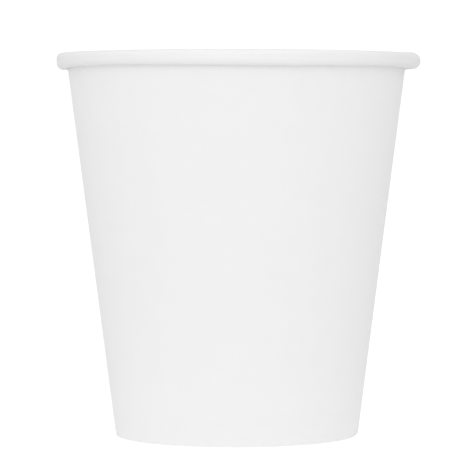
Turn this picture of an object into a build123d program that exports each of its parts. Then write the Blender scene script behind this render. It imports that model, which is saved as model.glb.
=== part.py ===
"""A plain white paper cup for a hot drink, built from the two blanks of board that a real one is made of.

The sidewall is one blank. It is wrapped into a cone and lapped over itself along a side seam, its top
edge is rolled outwards into a rim, and its bottom edge is folded up inside as a hem. The base disc is
the second blank. Its edge is bent down into a skirt, which the hem clamps against the sidewall.

The origin is the centre of the ring that the cup stands on, +Z points up, and the side seam is at +X.
Lengths are in millimetres and angles in degrees.
"""
from build123d import *

import math
import os

# The cup as a whole
cup_height = 95.0
foot_diameter = 60.1
wall_lean = 7.3

# The two boards, and the fused film between them where they are sealed
wall_board = 0.35
base_board = 0.30
seal_film = 0.02

# The rolled rim, away from the seam: over the top, down a nearly flat outer side, and tucked under
rim_top_radius = 1.38
rim_drop = 0.95
rim_under_radius = 1.60
rim_tail_radius = 0.85
rim_tail_turn = 165.0

# The rolled rim at the seam, where two layers of board curl less tightly and stand a little higher
seam_rim_rise = 0.15
seam_rim_top_radius = 2.10
seam_rim_drop = 0.05
seam_rim_under_radius = 1.85
seam_rim_tail_radius = 1.20

# The side seam, measured round the cup from +X towards the back
seam_start = 0.0
seam_lap = 10.0
seam_ramp = 2.0
swell_reach = 24.0
swell_steps = 8

# The foot: the fold that the cup stands on, and how far its hem stops below the base disc
fold_inner_radius = 0.08
fold_outer_radius = 0.25
hem_gap = 1.0

# The base disc: how high its underside stands, its edge bend, and how far its skirt stops above the fold
base_recess = 7.5
base_bend_radius = 0.45
skirt_lift = 0.10

lean = math.radians(wall_lean)
foot_radius = foot_diameter / 2
pinch = base_board + 2 * seal_film
hem_height = base_recess - hem_gap


def wall_point(height, depth):
    """A point in the radial plane at a height, so far outside the face that lines the cup."""
    return (foot_radius + height * math.tan(lean) + (depth - wall_board) / math.cos(lean), height)


def blend(plain, seam, swell):
    return plain + swell * (seam - plain)


def radial_plane(angle):
    """The upright plane through the cup's axis, with its own x pointing outwards."""
    return Plane.XZ.rotated((0, 0, angle))


def board_face(swell, depth, floor):
    """One face of the sidewall's board, from the hem's tip, round the foot and up into the rim.

    swell is 0 where the rim is plain and 1 at the seam. depth is how far the face lies outside the
    cup's lining, and floor is the height at which it runs across the foot.
    """
    top_radius = blend(rim_top_radius, seam_rim_top_radius, swell)
    drop_length = blend(rim_drop, seam_rim_drop, swell)
    under_radius = blend(rim_under_radius, seam_rim_under_radius, swell)
    tail_radius = blend(rim_tail_radius, seam_rim_tail_radius, swell)
    curl_start = cup_height + swell * seam_rim_rise - top_radius * (1 - math.sin(lean))
    lining_point = Vector(*wall_point(curl_start, 0))
    outward = Vector(math.cos(lean), -math.sin(lean))
    fold = FilletPolyline(
        wall_point(hem_height, -pinch - depth),
        wall_point(floor, -pinch - depth),
        wall_point(floor, depth),
        lining_point + outward * depth,
        radius=fold_inner_radius if floor else fold_outer_radius,
    )
    over = JernArc(
        start=fold @ 1,
        tangent=(math.sin(lean), math.cos(lean)),
        radius=top_radius - depth,
        arc_size=wall_lean - 180,
    )
    drop = Line(over @ 1, over @ 1 - Vector(0, drop_length))
    under = JernArc(start=drop @ 1, tangent=(0, -1), radius=under_radius - depth, arc_size=-90)
    tail = JernArc(start=under @ 1, tangent=(-1, 0), radius=tail_radius - depth, arc_size=-rim_tail_turn)
    return fold @ 0, tail @ 1


def board_section(angle, swell, near, far):
    """The sidewall cut by a radial plane, between its faces at the near and far depths."""
    with BuildSketch(radial_plane(angle)) as section:
        with BuildLine():
            near_tip, near_tail = board_face(swell, near, wall_board)
            far_tip, far_tail = board_face(swell, far, 0)
            Line(near_tip, far_tip)
            Line(near_tail, far_tail)
        make_face()
    return section.sketch


def swelling_sections(plain_angle, seam_angle):
    """Sections through one layer of board, from where the rim is plain to where it is fullest."""
    sections = []
    for step in range(swell_steps + 1):
        share = step / swell_steps
        swell = (1 - math.cos(math.pi * share)) / 2
        sections.append(board_section(blend(plain_angle, seam_angle, share), swell, 0, wall_board))
    return sections


# The sidewall: plain round the cup, swelling towards the seam from both sides, and doubled at the seam
ramp_start = seam_start - seam_ramp
seam_end = seam_start + seam_lap
plain_start = seam_end + swell_reach
plain_end = ramp_start - swell_reach + 360

with BuildPart() as sidewall:
    plain = board_section(plain_start, 0, 0, wall_board)
    revolve(plain, axis=Axis.Z, revolution_arc=plain_end - plain_start)
    loft(swelling_sections(plain_end, ramp_start + 360))
    loft(swelling_sections(plain_start, seam_end))

    ramp_foot = board_section(ramp_start, 1, 0, wall_board)
    ramp_head = board_section(seam_start, 1, wall_board, 2 * wall_board)
    loft([ramp_foot, ramp_head], ruled=True)

    doubled = board_section(seam_start, 1, 0, 2 * wall_board)
    revolve(doubled, axis=Axis.Z, revolution_arc=seam_lap)

# The base disc, whose skirt fills the hem's pocket but for the film on each side
with BuildPart() as base_disc:
    with BuildSketch(Plane.XZ):
        with BuildLine():
            top_height = base_recess + base_board
            skirt_end = wall_board + skirt_lift
            FilletPolyline(
                (0, top_height),
                wall_point(top_height, -seal_film),
                wall_point(skirt_end, -seal_film),
                radius=base_bend_radius,
            )
            FilletPolyline(
                (0, base_recess),
                wall_point(base_recess, -seal_film - base_board),
                wall_point(skirt_end, -seal_film - base_board),
                radius=base_bend_radius - base_board,
            )
            Line((0, base_recess), (0, top_height))
            Line(wall_point(skirt_end, -seal_film), wall_point(skirt_end, -seal_film - base_board))
        make_face()
    revolve(axis=Axis.Z)

os.makedirs("parts", exist_ok=True)
sidewall.part.label = "sidewall"
base_disc.part.label = "base_disc"
export_step(sidewall.part, "parts/sidewall.step")
export_step(base_disc.part, "parts/base_disc.step")
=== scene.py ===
"""Dresses a plain white paper cup: two boards with their linings and cut edges, and a pale soft studio.

Lengths are in metres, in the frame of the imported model: the origin is the centre of the ring that the
cup stands on, +Z points up, and the side seam is at +X.
"""
import math

import bmesh
import bpy
from mathutils import Euler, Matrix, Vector


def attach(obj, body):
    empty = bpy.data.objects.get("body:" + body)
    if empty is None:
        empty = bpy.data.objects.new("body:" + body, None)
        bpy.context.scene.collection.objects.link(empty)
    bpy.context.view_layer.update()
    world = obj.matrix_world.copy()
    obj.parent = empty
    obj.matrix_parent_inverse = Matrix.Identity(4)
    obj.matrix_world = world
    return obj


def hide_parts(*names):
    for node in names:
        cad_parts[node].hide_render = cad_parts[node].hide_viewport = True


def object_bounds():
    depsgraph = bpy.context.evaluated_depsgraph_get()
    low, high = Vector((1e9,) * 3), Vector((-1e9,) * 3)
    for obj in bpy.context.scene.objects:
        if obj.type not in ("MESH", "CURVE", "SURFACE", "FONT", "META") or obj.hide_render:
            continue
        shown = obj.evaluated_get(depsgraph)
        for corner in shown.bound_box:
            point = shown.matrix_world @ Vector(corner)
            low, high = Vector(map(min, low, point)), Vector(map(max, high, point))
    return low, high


bl_info = {
    "name": "Paper Cup",
    "version": (1, 0, 0),
    "blender": (4, 5, 0),
    "location": "3D View > Sidebar > Paper Cup",
    "description": "Makes a paper cup with a rolled rim, a lapped side seam and a recessed base",
    "category": "Add Mesh",
}

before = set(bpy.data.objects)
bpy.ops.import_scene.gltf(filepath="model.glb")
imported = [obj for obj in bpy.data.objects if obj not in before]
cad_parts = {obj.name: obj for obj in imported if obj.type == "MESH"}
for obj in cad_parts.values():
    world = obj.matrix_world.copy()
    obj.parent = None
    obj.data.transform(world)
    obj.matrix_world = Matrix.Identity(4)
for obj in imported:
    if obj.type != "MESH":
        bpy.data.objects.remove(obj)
cad_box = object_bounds()

MM = 0.001
BODY = "root"

# The material slots of the sidewall and the base disc, in the order in which both meshes hold them
OUTSIDE, LINING, RAW_EDGE = range(3)

# How finely each stretch of a board's face is cut
BEND_STEPS = 5
HEM_STEPS = 12
WALL_STEPS = 24
RIM_TOP_STEPS = 20
RIM_DROP_STEPS = 3
RIM_UNDER_STEPS = 10
RIM_TAIL_STEPS = 14
DISC_STEPS = 16
SKIRT_STEPS = 6

# Cuts across the ramp on to the lap, cuts all round the base disc, and sides of the floor
RAMP_CUTS = 6
DISC_CUTS = 480
FLOOR_SIDES = 96

# Points this close are one, edges bent further than this are sharp, and a face that looks this squarely
# along the board is its cut end
MERGE_DISTANCE = 0.0005 * MM
SHARP_ANGLE = math.radians(38)
END_FACING = 0.7

# Waves round the cup, each as its count, its phase and its size. The sizes are millimetres of height for
# the rim's roll, radians of shift for the puckers, and shares of the rim's waver for the other two
RIM_WAVES = ((0, 0, -0.20), (2, 0, 0.08), (3, 0, -0.10), (4, 0, 0.19), (6, 0, 0.05))
PUCKER_WAVES = ((3, -math.pi / 2, 2),)
WAVER_OUTWARD = ((2, 0.7, 0.6), (3, 2.1, 0.4))
WAVER_UPWARD = ((3, 0.4 - math.pi / 2, 0.5), (1, math.pi, 1.3))

# How many finer layers of noise there are in the felt's dimples, the clouds and the fibres
FELT_DETAIL = 2
CLOUD_DETAIL = 4
FIBRE_DETAIL = 5

# Where the light begins to dim, and where it is dimmest: -1 is in front of the cup, and 1 behind it
DIMMING_START = -0.3
DIMMING_END = 0.7


def length(name, millimetres, description):
    return bpy.props.FloatProperty(
        name=name, description=description, default=millimetres * MM, unit="LENGTH", precision=5
    )


def turn(name, degrees, description):
    return bpy.props.FloatProperty(
        name=name, description=description, default=math.radians(degrees), unit="ROTATION"
    )


def number(name, value, description):
    return bpy.props.IntProperty(name=name, description=description, default=value, min=0)


def fraction(name, value, description):
    return bpy.props.FloatProperty(name=name, description=description, default=value, min=0, max=1)


def brightness(name, value, description):
    return bpy.props.FloatProperty(name=name, description=description, default=value, min=0)


def power(name, watts, description):
    return bpy.props.FloatProperty(name=name, description=description, default=watts, unit="POWER")


def tint(name, value, description):
    return bpy.props.FloatVectorProperty(
        name=name, description=description, default=value, subtype="COLOR", size=3, min=0, max=1
    )


class PaperCupSizes(bpy.types.PropertyGroup):
    """Sizes of the cup's two boards"""

    cup_height: length("Height", 95, "From the foot to the top of the rim, away from the seam")
    foot_radius: length("Foot radius", 30.05, "Where the line of the wall's outside meets the floor")
    wall_lean: turn("Wall lean", 7.3, "Angle between the wall and the upright")
    wall_board: length("Wall board", 0.35, "Thickness of the sidewall's board")
    base_board: length("Base board", 0.30, "Thickness of the base disc's board")
    seal_film: length("Seal film", 0.02, "Fused film between two boards")
    rim_top_radius: length("Rim top radius", 1.38, "Roll over the top of the rim")
    rim_drop: length("Rim drop", 0.95, "Flat outer side of the rim")
    rim_under_radius: length("Rim under radius", 1.60, "Roll under the rim")
    rim_tail_radius: length("Rim tail radius", 0.85, "Roll of the end that is tucked up inside")
    rim_tail_turn: turn("Rim tail turn", 165, "How far the tucked end rolls on")
    rim_waver: length("Rim waver", 0.06, "How far the rim wavers out of true")
    seam_rim_rise: length("Seam rim rise", 0.15, "How much higher the rim stands at the seam")
    seam_rim_top_radius: length("Seam rim top radius", 2.10, "Roll over the top at the seam")
    seam_rim_drop: length("Seam rim drop", 0.05, "Flat outer side of the rim at the seam")
    seam_rim_under_radius: length("Seam rim under radius", 1.85, "Roll under the rim at the seam")
    seam_rim_tail_radius: length("Seam rim tail radius", 1.20, "Roll of the tucked end at the seam")
    seam_lap: turn("Seam lap", 10, "How far round the two layers lie over each other")
    seam_ramp: turn("Seam ramp", 2, "How far round the outer layer climbs on to the inner one")
    swell_reach: turn("Swell reach", 24, "How far round the rim swells on each side of the seam")
    fold_inner_radius: length("Fold inner radius", 0.08, "Inside of the fold at the foot")
    fold_outer_radius: length("Fold outer radius", 0.25, "Outside of the fold at the foot")
    hem_gap: length("Hem gap", 1.0, "How far the hem stops below the base disc")
    knurl_count: number("Knurl count", 90, "Marks that the sealing wheel leaves round the hem")
    knurl_depth: length("Knurl depth", 0.11, "Depth of the sealing wheel's marks")
    base_recess: length("Base recess", 7.5, "Height of the base disc's underside")
    base_bend_radius: length("Base bend radius", 0.45, "Bend at the base disc's edge")
    skirt_lift: length("Skirt lift", 0.10, "How far the base disc's skirt stops above the fold")
    disc_crown: length("Disc crown", 0.25, "How far the base disc rises towards its middle")
    pucker_count: number("Pucker count", 60, "Small puckers round the base disc's bend")
    pucker_depth: length("Pucker depth", 0.08, "Depth of the puckers")


class PaperCupFinish(bpy.types.PropertyGroup):
    """Colours and surface of the boards"""

    board_colour: tint("Board", (0.86, 0.86, 0.859), "White of the bare board")
    board_roughness: fraction("Board roughness", 0.85, "Roughness of the bare board")
    board_gloss: fraction("Board gloss", 0.25, "Gloss of the bare board and its cut edges")
    fibre_width: length("Fibre width", 0.16, "Width of the fibres in the board's surface")
    fibre_length: length("Fibre length", 0.9, "Length of the fibres, which run up the cup")
    fibre_relief: length("Fibre relief", 0.006, "How far the fibres stand up from the bare board")
    felt_size: length("Felt size", 1.6, "Size of the soft dimples that the board's felt leaves")
    felt_relief: length("Felt relief", 0.012, "Depth of the dimples in the bare board")
    cloud_size: length("Cloud size", 5.0, "Size of the faint clouds in the board")
    cloud_strength: fraction("Cloud strength", 0.010, "How much the clouds darken the board")
    scatter_depth: length("Scatter depth", 0.2, "How far light spreads inside the board")
    lining_roughness: fraction("Lining roughness", 0.42, "Roughness of the film lining")
    lining_gloss: fraction("Lining gloss", 0.5, "Gloss of the film lining")
    lining_fibre_relief: length("Lining fibre relief", 0.002, "How far the fibres show through the film")
    lining_felt_relief: length("Lining felt relief", 0.010, "Depth of the dimples under the film")
    edge_colour: tint("Cut edge", (0.84, 0.825, 0.795), "Colour of the board's cut edges")
    edge_roughness: fraction("Cut edge roughness", 0.9, "Roughness of the board's cut edges")
    edge_relief: length("Cut edge relief", 0.012, "How far the fibres and dimples roughen a cut edge")


class PaperCupStudio(bpy.types.PropertyGroup):
    """Camera, floor and lights"""

    camera_distance: length("Camera distance", 700, "From the cup's axis to the camera")
    camera_height: length("Camera height", 78.6, "Height of the camera above the floor")
    camera_side: length("Camera side", 0.39, "How far the camera stands to the right of the axis")
    camera_pitch: turn("Camera pitch", 2.411, "How far the camera looks down")
    camera_roll: turn("Camera roll", 0.06, "How far the camera is rolled")
    camera_clearance: length("Camera clearance", 10, "How close to the camera things still show")
    field_of_view: turn("Field of view", 9.668, "Width of the camera's view")
    floor_radius: length("Floor radius", 6000, "Radius of the floor")
    floor_tone: fraction("Floor tone", 0.05, "How much light the floor gives back")
    floor_glow: brightness("Floor glow", 0.80, "Light that the floor gives out")
    foot_glow: brightness("Foot glow", 0.88, "Light that the floor gives out at the cup's foot")
    foot_glow_start: length("Foot glow start", 30, "Where the foot's glow begins to fade, from the axis")
    foot_glow_reach: length("Foot glow reach", 80, "Where the foot's glow ends, from the axis")
    backdrop: brightness("Backdrop", 1.05, "Brightness of the white behind the cup")
    fill: brightness("Fill", 0.87, "Brightness of the light from all round")
    rear_shade: fraction("Rear shade", 0.18, "How much less light comes from behind the cup")
    key_turn: turn("Key turn", 5, "How far to the left of the camera the front light stands")
    key_rise: turn("Key rise", 15, "How high over the floor the front light stands")
    key_distance: length("Key distance", 1000, "From the cup to the front light")
    key_width: length("Key width", 700, "Width of the front light")
    key_power: power("Key power", 2.04, "Power of the front light")
    top_height: length("Top height", 1000, "Height of the overhead light above the floor")
    top_width: length("Top width", 800, "Width of the overhead light")
    top_power: power("Top power", 0.6, "Power of the overhead light")


class Outline:
    """A line in the cup's radial plane, drawn by straight runs and by rolls round arcs."""

    def __init__(self, start, heading):
        self.points = [Vector(start)]
        self.heading = heading

    def run(self, distance, steps=1):
        start = self.points[-1]
        ahead = Vector((math.cos(self.heading), math.sin(self.heading)))
        for step in range(1, steps + 1):
            self.points.append(start + ahead * distance * step / steps)

    def roll(self, radius, angle, steps):
        """Rolls left for an angle above 0, and right for one below."""
        side = math.copysign(radius, angle)
        centre = self.points[-1] + side * Vector((-math.sin(self.heading), math.cos(self.heading)))
        for step in range(1, steps + 1):
            heading = self.heading + angle * step / steps
            self.points.append(centre - side * Vector((-math.sin(heading), math.cos(heading))))
        self.heading += angle


def blend(plain, seam, swell):
    return plain + swell * (seam - plain)


def smooth_step(share):
    """Goes from 0 to 1 as the share does, and starts and ends softly."""
    return (1 - math.cos(math.pi * share)) / 2


def ripple(phase):
    """Swings between 1 and 0, and is 1 at a whole number of turns."""
    return 0.5 + 0.5 * math.cos(phase)


def sum_waves(waves, angle):
    """How high the waves are together at an angle round the cup."""
    return sum(size * math.cos(count * angle + phase) for count, phase, size in waves)


def wall_point(sizes, height, depth):
    """A point at a height, so far outside the face that lines the cup."""
    radius = sizes.foot_radius + height * math.tan(sizes.wall_lean)
    return Vector((radius + (depth - sizes.wall_board) / math.cos(sizes.wall_lean), height))


def sidewall_face(sizes, angle, swell, depth, floor):
    """One face of the sidewall's board, from the hem's tip, round the foot and up into the rim.

    swell is 0 where the rim is plain and 1 at the seam. depth is how far the face lies outside the
    cup's lining, and floor is the height at which it runs across the foot.
    """
    drop_length = sizes.rim_drop + sum_waves(RIM_WAVES, angle) * MM
    drop = blend(drop_length, sizes.seam_rim_drop, swell)
    top_radius = blend(sizes.rim_top_radius, sizes.seam_rim_top_radius, swell)
    under_radius = blend(sizes.rim_under_radius, sizes.seam_rim_under_radius, swell)
    tail_radius = blend(sizes.rim_tail_radius, sizes.seam_rim_tail_radius, swell)
    fold_radius = sizes.fold_inner_radius if floor else sizes.fold_outer_radius
    lean = sizes.wall_lean
    quarter = math.pi / 2
    pinch = sizes.base_board + 2 * sizes.seal_film

    hem_tip = wall_point(sizes, sizes.base_recess - sizes.hem_gap, -pinch - depth)
    hem_foot = wall_point(sizes, floor, -pinch - depth)
    wall_foot = wall_point(sizes, floor, depth)
    rim_top = sizes.cup_height + swell * sizes.seam_rim_rise
    curl_start = rim_top - top_radius * (1 - math.sin(lean))
    outward = Vector((math.cos(lean), -math.sin(lean)))
    wall_head = wall_point(sizes, curl_start, 0) + outward * depth
    blunt_bend = fold_radius * math.tan((quarter + lean) / 2)
    sharp_bend = fold_radius * math.tan((quarter - lean) / 2)

    face = Outline(hem_tip, -quarter - lean)
    face.run((hem_foot - hem_tip).length - blunt_bend, HEM_STEPS)
    face.roll(fold_radius, quarter + lean, BEND_STEPS)
    face.run((wall_foot - hem_foot).length - blunt_bend - sharp_bend)
    face.roll(fold_radius, quarter - lean, BEND_STEPS)
    face.run((wall_head - wall_foot).length - sharp_bend, WALL_STEPS)
    face.roll(top_radius - depth, lean - math.pi, RIM_TOP_STEPS)
    face.run(drop, RIM_DROP_STEPS)
    face.roll(under_radius - depth, -quarter, RIM_UNDER_STEPS)
    face.roll(tail_radius - depth, -sizes.rim_tail_turn, RIM_TAIL_STEPS)
    return face.points


def sidewall_cuts(sizes):
    """Cuts through the sidewall, one for each degree, from the lap's outer edge round to it again.

    Each is its angle, its swelling, and the depths of its near and far faces.
    """
    board = sizes.wall_board
    seam_end = sizes.seam_lap
    plain_start = seam_end + sizes.swell_reach
    ramp_start = 2 * math.pi - sizes.seam_ramp
    plain_end = ramp_start - sizes.swell_reach
    swell_steps = round(math.degrees(sizes.swell_reach))
    plain_steps = round(math.degrees(plain_end - plain_start))
    lap_steps = round(math.degrees(sizes.seam_lap))

    cuts = []
    for step in range(swell_steps):
        share = step / swell_steps
        cuts.append((seam_end + share * sizes.swell_reach, smooth_step(1 - share), 0, board))
    for step in range(plain_steps):
        cuts.append((blend(plain_start, plain_end, step / plain_steps), 0, 0, board))
    for step in range(swell_steps):
        share = step / swell_steps
        cuts.append((plain_end + share * sizes.swell_reach, smooth_step(share), 0, board))
    for step in range(RAMP_CUTS + 1):
        share = step / RAMP_CUTS
        climb = board * smooth_step(share)
        cuts.append((ramp_start + share * sizes.seam_ramp, 1, climb, board + climb))
    for step in range(lap_steps + 1):
        cuts.append((2 * math.pi + step / lap_steps * sizes.seam_lap, 1, 0, 2 * board))
    cuts.append((2 * math.pi + sizes.seam_lap, 1, 0, board))
    return cuts


def press_knurls(sizes, outside, angle):
    """Presses the sealing wheel's marks into the hem, where the outside of the board looks inwards."""
    for index in range(1, HEM_STEPS):
        reach = math.sin(math.pi * index / HEM_STEPS) ** 0.5
        outside[index].x += sizes.knurl_depth * reach * ripple(sizes.knurl_count * angle)


def cut_outline(sizes, angle, swell, near, far):
    """The closed outline of one cut: up the near face and back down the far one."""
    lining = sidewall_face(sizes, angle, swell, near, sizes.wall_board)
    outside = sidewall_face(sizes, angle, swell, far, 0)
    press_knurls(sizes, outside, angle)
    return lining + outside[::-1]


def waver(sizes, angle, height):
    """How far the board stands out of true: nothing at the foot, and most at the rim."""
    share = (height / sizes.cup_height) ** 2
    out_of_true = Vector((sum_waves(WAVER_OUTWARD, angle), sum_waves(WAVER_UPWARD, angle)))
    return sizes.rim_waver * share * out_of_true


def place(point, angle):
    """Turns a point of the radial plane into one of the cup."""
    return Vector((point.x * math.cos(angle), point.x * math.sin(angle), point.y))


def disc_face(sizes, height, depth, bend_radius):
    """One face of the base disc, from its middle out over the bend and down the skirt."""
    bend = math.pi / 2 + sizes.wall_lean
    corner = wall_point(sizes, height, -depth)
    skirt_end = wall_point(sizes, sizes.wall_board + sizes.skirt_lift, -depth)
    setback = bend_radius * math.tan(bend / 2)

    face = Outline((0, height), 0)
    face.run(corner.x - setback, DISC_STEPS)
    face.roll(bend_radius, -bend, BEND_STEPS)
    face.run((corner - skirt_end).length - setback, SKIRT_STEPS)
    return face.points


def settle(sizes, point, angle):
    """Where a point of the base disc comes to rest once its edge is drawn down.

    The disc rises in a low crown towards its middle, and puckers at the bend.
    """
    edge = wall_point(sizes, sizes.base_recess, 0).x
    crown = sizes.disc_crown * max(0, 1 - (point.x / edge) ** 2)
    pucker_width = 3 * sizes.base_bend_radius
    across = (point.x - edge + sizes.base_bend_radius) / pucker_width
    fold = ripple(sizes.pucker_count * angle + sum_waves(PUCKER_WAVES, angle)) ** 2
    sink = sizes.pucker_depth * fold * math.exp(-across * across)
    return Vector((point.x - sink, point.y + crown - sink))


def add_section(bm, points):
    """New vertices for a section that will be swept. Each knows its place in the section."""
    order = bm.verts.layers.int.new("order")
    verts = [bm.verts.new(point) for point in points]
    for index, vert in enumerate(verts):
        vert[order] = index
    return verts


def sweep_round(bm, rings):
    """Extrudes a ring of points from each place to the next. All rings have the same points."""
    verts = add_section(bm, rings[0])
    order = bm.verts.layers.int["order"]
    edges = [bm.edges.new((verts[index - 1], vert)) for index, vert in enumerate(verts)]
    for ring in rings[1:]:
        made = bmesh.ops.extrude_edge_only(bm, edges=edges)["geom"]
        new_verts = {piece for piece in made if isinstance(piece, bmesh.types.BMVert)}
        new_edges = [piece for piece in made if isinstance(piece, bmesh.types.BMEdge)]
        for vert in new_verts:
            vert.co = ring[vert[order]]
        edges = [edge for edge in new_edges if new_verts.issuperset(edge.verts)]


def paint_board(bm, near_count):
    """Gives each face its slot, from the place of its corners in the section that was swept."""
    order = bm.verts.layers.int["order"]
    for face in bm.faces:
        face.normal_update()
        middle = face.calc_center_median()
        along = Vector((-middle.y, middle.x, 0)).normalized()
        sides = {vert[order] < near_count for vert in face.verts}
        if len(sides) == 2 or abs(face.normal.dot(along)) > END_FACING:
            face.material_index = RAW_EDGE
        else:
            face.material_index = LINING if True in sides else OUTSIDE


def mesh_object(name, bm, materials):
    """Closes the mesh, turns its faces outwards and links it as an object at the origin."""
    bmesh.ops.remove_doubles(bm, verts=bm.verts[:], dist=MERGE_DISTANCE)
    bmesh.ops.recalc_face_normals(bm, faces=bm.faces[:])
    for face in bm.faces:
        face.smooth = True
    mesh = bpy.data.meshes.new(name)
    bm.to_mesh(mesh)
    bm.free()
    for material in materials:
        mesh.materials.append(material)
    mesh.set_sharp_from_angle(angle=SHARP_ANGLE)
    piece = bpy.data.objects.new(name, mesh)
    bpy.context.scene.collection.objects.link(piece)
    return piece


def fresh_material(name):
    """A new material with its nodes, its links and its shader."""
    material = bpy.data.materials.new(name)
    material.use_nodes = True
    nodes = material.node_tree.nodes
    return material, nodes, material.node_tree.links, nodes["Principled BSDF"]


def add_noise(nodes, links, coordinates, width, height, detail):
    """Noise whose grains are so wide, and so high up the cup."""
    stretch = nodes.new("ShaderNodeMapping")
    stretch.inputs["Scale"].default_value = (1 / width, 1 / width, 1 / height)
    links.new(coordinates, stretch.inputs["Vector"])
    texture = nodes.new("ShaderNodeTexNoise")
    texture.inputs["Scale"].default_value = 1
    texture.inputs["Detail"].default_value = detail
    links.new(stretch.outputs["Vector"], texture.inputs["Vector"])
    return texture.outputs["Fac"]


def add_bump(nodes, links, height, relief, under=None):
    """Relief so deep, on top of the relief under it."""
    bump = nodes.new("ShaderNodeBump")
    bump.inputs["Distance"].default_value = relief
    links.new(height, bump.inputs["Height"])
    if under is not None:
        links.new(under, bump.inputs["Normal"])
    return bump.outputs["Normal"]


def board_material(name, finish, colour, roughness, gloss, fibre_relief, felt_relief):
    """White board with faint clouds, fine fibres and the felt's soft dimples."""
    material, nodes, links, shader = fresh_material(name)
    coordinates = nodes.new("ShaderNodeTexCoord").outputs["Object"]
    darker, lighter = 1 - finish.cloud_strength, 1 + finish.cloud_strength

    clouds = add_noise(nodes, links, coordinates, finish.cloud_size, finish.cloud_size, CLOUD_DETAIL)
    tone = nodes.new("ShaderNodeMix")
    tone.data_type = "RGBA"
    tone.inputs["A"].default_value = (*[channel * darker for channel in colour], 1)
    tone.inputs["B"].default_value = (*[min(1, channel * lighter) for channel in colour], 1)
    links.new(clouds, tone.inputs["Factor"])
    links.new(tone.outputs["Result"], shader.inputs["Base Color"])

    felt = add_noise(nodes, links, coordinates, finish.felt_size, finish.felt_size, FELT_DETAIL)
    fibres = add_noise(nodes, links, coordinates, finish.fibre_width, finish.fibre_length, FIBRE_DETAIL)
    dimples = add_bump(nodes, links, felt, felt_relief)
    links.new(add_bump(nodes, links, fibres, fibre_relief, dimples), shader.inputs["Normal"])

    shader.inputs["Roughness"].default_value = roughness
    shader.inputs["Specular IOR Level"].default_value = gloss
    shader.inputs["Subsurface Weight"].default_value = 1.0
    shader.inputs["Subsurface Radius"].default_value = (1, 1, 1)
    shader.inputs["Subsurface Scale"].default_value = finish.scatter_depth
    return material


def board_materials(finish):
    """The outside, the lining and the cut edges, in the order of the slots."""
    outside = board_material(
        "board_outside", finish, finish.board_colour, finish.board_roughness, finish.board_gloss,
        finish.fibre_relief, finish.felt_relief,
    )
    lining = board_material(
        "board_lining", finish, finish.board_colour, finish.lining_roughness, finish.lining_gloss,
        finish.lining_fibre_relief, finish.lining_felt_relief,
    )
    raw_edge = board_material(
        "board_cut_edge", finish, finish.edge_colour, finish.edge_roughness, finish.board_gloss,
        finish.edge_relief, finish.edge_relief,
    )
    return outside, lining, raw_edge


class PAPERCUP_OT_sidewall(bpy.types.Operator):
    """Make the sidewall, with its rolled rim, lapped seam and hem"""

    bl_idname = "paper_cup.sidewall"
    bl_label = "Sidewall"

    def execute(self, context):
        sizes = context.scene.paper_cup_sizes
        finish = context.scene.paper_cup_finish
        rings = []
        for angle, swell, near, far in sidewall_cuts(sizes):
            outline = cut_outline(sizes, angle, swell, near, far)
            rings.append([place(point + waver(sizes, angle, point.y), angle) for point in outline])

        bm = bmesh.new()
        sweep_round(bm, rings)
        paint_board(bm, len(rings[0]) // 2)
        sidewall = mesh_object("sidewall_board", bm, board_materials(finish))
        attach(sidewall, BODY)
        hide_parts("sidewall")
        return {"FINISHED"}


class PAPERCUP_OT_base_disc(bpy.types.Operator):
    """Make the base disc, with its bent edge and skirt"""

    bl_idname = "paper_cup.base_disc"
    bl_label = "Base disc"

    def execute(self, context):
        sizes = context.scene.paper_cup_sizes
        finish = context.scene.paper_cup_finish
        board, film = sizes.base_board, sizes.seal_film
        bend = sizes.base_bend_radius
        upper = disc_face(sizes, sizes.base_recess + board, film, bend)
        under = disc_face(sizes, sizes.base_recess, film + board, bend - board)

        bm = bmesh.new()
        verts = add_section(bm, [place(point, 0) for point in upper + under[::-1]])
        edges = [bm.edges.new(pair) for pair in zip(verts, verts[1:])]
        bmesh.ops.spin(
            bm, geom=verts + edges, cent=(0, 0, 0), axis=(0, 0, 1),
            angle=2 * math.pi, steps=DISC_CUTS, use_merge=True,
        )
        for vert in bm.verts:
            angle = math.atan2(vert.co.y, vert.co.x)
            point = Vector((math.hypot(vert.co.x, vert.co.y), vert.co.z))
            vert.co = place(settle(sizes, point, angle), angle)
        paint_board(bm, len(upper))
        disc = mesh_object("base_board", bm, board_materials(finish))
        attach(disc, BODY)
        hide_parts("base_disc")
        return {"FINISHED"}


def add_product(nodes, links, first, second):
    """Two levels from other nodes, multiplied."""
    product = nodes.new("ShaderNodeMath")
    product.operation = "MULTIPLY"
    links.new(first, product.inputs[0])
    links.new(second, product.inputs[1])
    return product.outputs["Value"]


def add_fade(nodes, links, value, start, end, level_before, level_after):
    """A level that changes softly as a value goes from the start to the end."""
    fade = nodes.new("ShaderNodeMapRange")
    fade.interpolation_type = "SMOOTHSTEP"
    fade.inputs["From Min"].default_value = start
    fade.inputs["From Max"].default_value = end
    fade.inputs["To Min"].default_value = level_before
    fade.inputs["To Max"].default_value = level_after
    links.new(value, fade.inputs["Value"])
    return fade.outputs["Result"]


def add_rear_dimming(nodes, links, direction, studio, full):
    """How bright the light from a direction is: full from in front, and less from behind the cup."""
    unit = nodes.new("ShaderNodeVectorMath")
    unit.operation = "NORMALIZE"
    links.new(direction, unit.inputs[0])
    parts = nodes.new("ShaderNodeSeparateXYZ")
    links.new(unit.outputs["Vector"], parts.inputs["Vector"])
    dimmed = full * (1 - studio.rear_shade)
    return add_fade(nodes, links, parts.outputs["Y"], DIMMING_START, DIMMING_END, full, dimmed)


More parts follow.
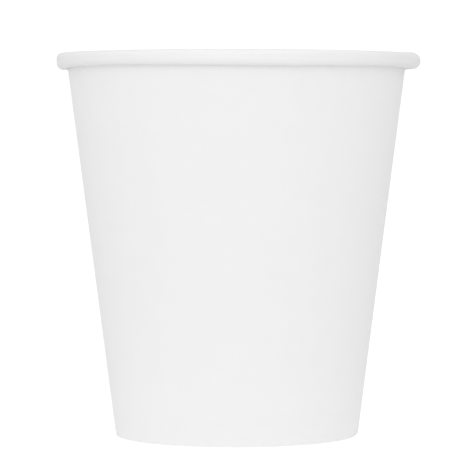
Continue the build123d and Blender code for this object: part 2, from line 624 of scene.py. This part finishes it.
def add_floor_glow(nodes, links, studio):
    """How much light each spot of the floor gives out: most at the foot, and less behind the cup."""
    spot = nodes.new("ShaderNodeTexCoord").outputs["Object"]
    reach = nodes.new("ShaderNodeVectorMath")
    reach.operation = "LENGTH"
    links.new(spot, reach.inputs[0])
    glow = add_fade(
        nodes, links, reach.outputs["Value"], studio.foot_glow_start, studio.foot_glow_reach,
        studio.foot_glow, studio.floor_glow,
    )
    from_cup = nodes.new("ShaderNodeVectorMath")
    from_cup.inputs[1].default_value = (0, 0, -cad_box[1].z / 2)
    links.new(spot, from_cup.inputs[0])
    dimming = add_rear_dimming(nodes, links, from_cup.outputs["Vector"], studio, 1)
    return add_product(nodes, links, glow, dimming)


def make_floor(studio):
    """A plain pale floor that glows a little, as on a light table, and that the camera sees as white."""
    material, nodes, links, shader = fresh_material("floor")
    tone = studio.floor_tone
    shader.inputs["Base Color"].default_value = (tone, tone, tone, 1)
    shader.inputs["Roughness"].default_value = 1.0
    shader.inputs["Specular IOR Level"].default_value = 0.0
    shader.inputs["Emission Color"].default_value = (1, 1, 1, 1)
    seen = nodes.new("ShaderNodeMix")
    seen.data_type = "FLOAT"
    seen.inputs["B"].default_value = studio.backdrop
    links.new(add_floor_glow(nodes, links, studio), seen.inputs["A"])
    links.new(nodes.new("ShaderNodeLightPath").outputs["Is Camera Ray"], seen.inputs["Factor"])
    links.new(seen.outputs["Result"], shader.inputs["Emission Strength"])

    bm = bmesh.new()
    bmesh.ops.create_circle(bm, cap_ends=True, segments=FLOOR_SIDES, radius=studio.floor_radius)
    bmesh.ops.translate(bm, verts=bm.verts[:], vec=(0, 0, cad_box[0].z))
    mesh_object("floor", bm, [material])


def make_backdrop(studio):
    """White wherever the camera looks past the floor, and a soft fill light for the cup."""
    world = bpy.data.worlds.new("studio")
    world.use_nodes = True
    bpy.context.scene.world = world
    nodes, links = world.node_tree.nodes, world.node_tree.links
    direction = nodes.new("ShaderNodeTexCoord").outputs["Generated"]
    fill = nodes["Background"]
    fill.inputs["Color"].default_value = (1, 1, 1, 1)
    level = add_rear_dimming(nodes, links, direction, studio, studio.fill)
    links.new(level, fill.inputs["Strength"])
    white = nodes.new("ShaderNodeBackground")
    white.inputs["Strength"].default_value = studio.backdrop
    white.inputs["Color"].default_value = (1, 1, 1, 1)
    mixer = nodes.new("ShaderNodeMixShader")
    links.new(nodes.new("ShaderNodeLightPath").outputs["Is Camera Ray"], mixer.inputs["Fac"])
    links.new(fill.outputs["Background"], mixer.inputs[1])
    links.new(white.outputs["Background"], mixer.inputs[2])
    links.new(mixer.outputs["Shader"], nodes["World Output"].inputs["Surface"])


def make_softbox(name, place_at, aim_at, width, watts):
    """A square soft light that the camera doesn't see."""
    light = bpy.data.lights.new(name, "AREA")
    light.shape = "SQUARE"
    light.size = width
    light.energy = watts
    box = bpy.data.objects.new(name, light)
    box.location = place_at
    box.rotation_euler = (aim_at - place_at).to_track_quat("-Z", "Y").to_euler()
    box.visible_camera = False
    bpy.context.scene.collection.objects.link(box)


def make_lights(studio):
    """A soft light in front of the cup and one over it, both aimed at its middle."""
    middle = (cad_box[0] + cad_box[1]) / 2
    toward_key = Euler((-studio.key_rise, 0, -studio.key_turn)).to_matrix() @ Vector((0, -1, 0))
    key_place = middle + studio.key_distance * toward_key
    make_softbox("key", key_place, middle, studio.key_width, studio.key_power)
    top_place = Vector((0, 0, studio.top_height))
    make_softbox("top", top_place, middle, studio.top_width, studio.top_power)


def make_camera(studio):
    """The camera, in front of the cup and looking a little down at it."""
    camera = bpy.data.cameras.new("camera")
    camera.angle = studio.field_of_view
    camera.clip_start = studio.camera_clearance
    holder = bpy.data.objects.new("camera", camera)
    holder.location = (studio.camera_side, -studio.camera_distance, studio.camera_height)
    holder.rotation_euler = (math.pi / 2 - studio.camera_pitch, studio.camera_roll, 0)
    bpy.context.scene.collection.objects.link(holder)
    bpy.context.scene.camera = holder


class PAPERCUP_OT_stage(bpy.types.Operator):
    """Make the floor, the backdrop, the lights and the camera"""

    bl_idname = "paper_cup.stage"
    bl_label = "Stage"

    def execute(self, context):
        studio = context.scene.paper_cup_studio
        make_floor(studio)
        make_backdrop(studio)
        make_lights(studio)
        make_camera(studio)
        context.scene.view_settings.view_transform = "Standard"
        context.scene.view_settings.look = "None"
        return {"FINISHED"}


class PAPERCUP_PT_panel(bpy.types.Panel):
    """Lists the cup's pieces, sizes, finish and studio"""

    bl_label = "Paper Cup"
    bl_space_type = "VIEW_3D"
    bl_region_type = "UI"
    bl_category = "Paper Cup"

    def draw(self, context):
        layout = self.layout
        for operator in (PAPERCUP_OT_sidewall, PAPERCUP_OT_base_disc, PAPERCUP_OT_stage):
            layout.operator(operator.bl_idname)
        for group in ("paper_cup_sizes", "paper_cup_finish", "paper_cup_studio"):
            column = layout.column()
            settings = getattr(context.scene, group)
            for key in settings.__annotations__:
                column.prop(settings, key)


classes = (
    PaperCupSizes,
    PaperCupFinish,
    PaperCupStudio,
    PAPERCUP_OT_sidewall,
    PAPERCUP_OT_base_disc,
    PAPERCUP_OT_stage,
    PAPERCUP_PT_panel,
)


def register():
    for cls in classes:
        bpy.utils.register_class(cls)
    bpy.types.Scene.paper_cup_sizes = bpy.props.PointerProperty(type=PaperCupSizes)
    bpy.types.Scene.paper_cup_finish = bpy.props.PointerProperty(type=PaperCupFinish)
    bpy.types.Scene.paper_cup_studio = bpy.props.PointerProperty(type=PaperCupStudio)


def unregister():
    del bpy.types.Scene.paper_cup_studio
    del bpy.types.Scene.paper_cup_finish
    del bpy.types.Scene.paper_cup_sizes
    for cls in reversed(classes):
        bpy.utils.unregister_class(cls)


def main():
    register()
    bpy.ops.paper_cup.sidewall()
    bpy.ops.paper_cup.base_disc()
    bpy.ops.paper_cup.stage()


if __name__ == "__main__":
    main()
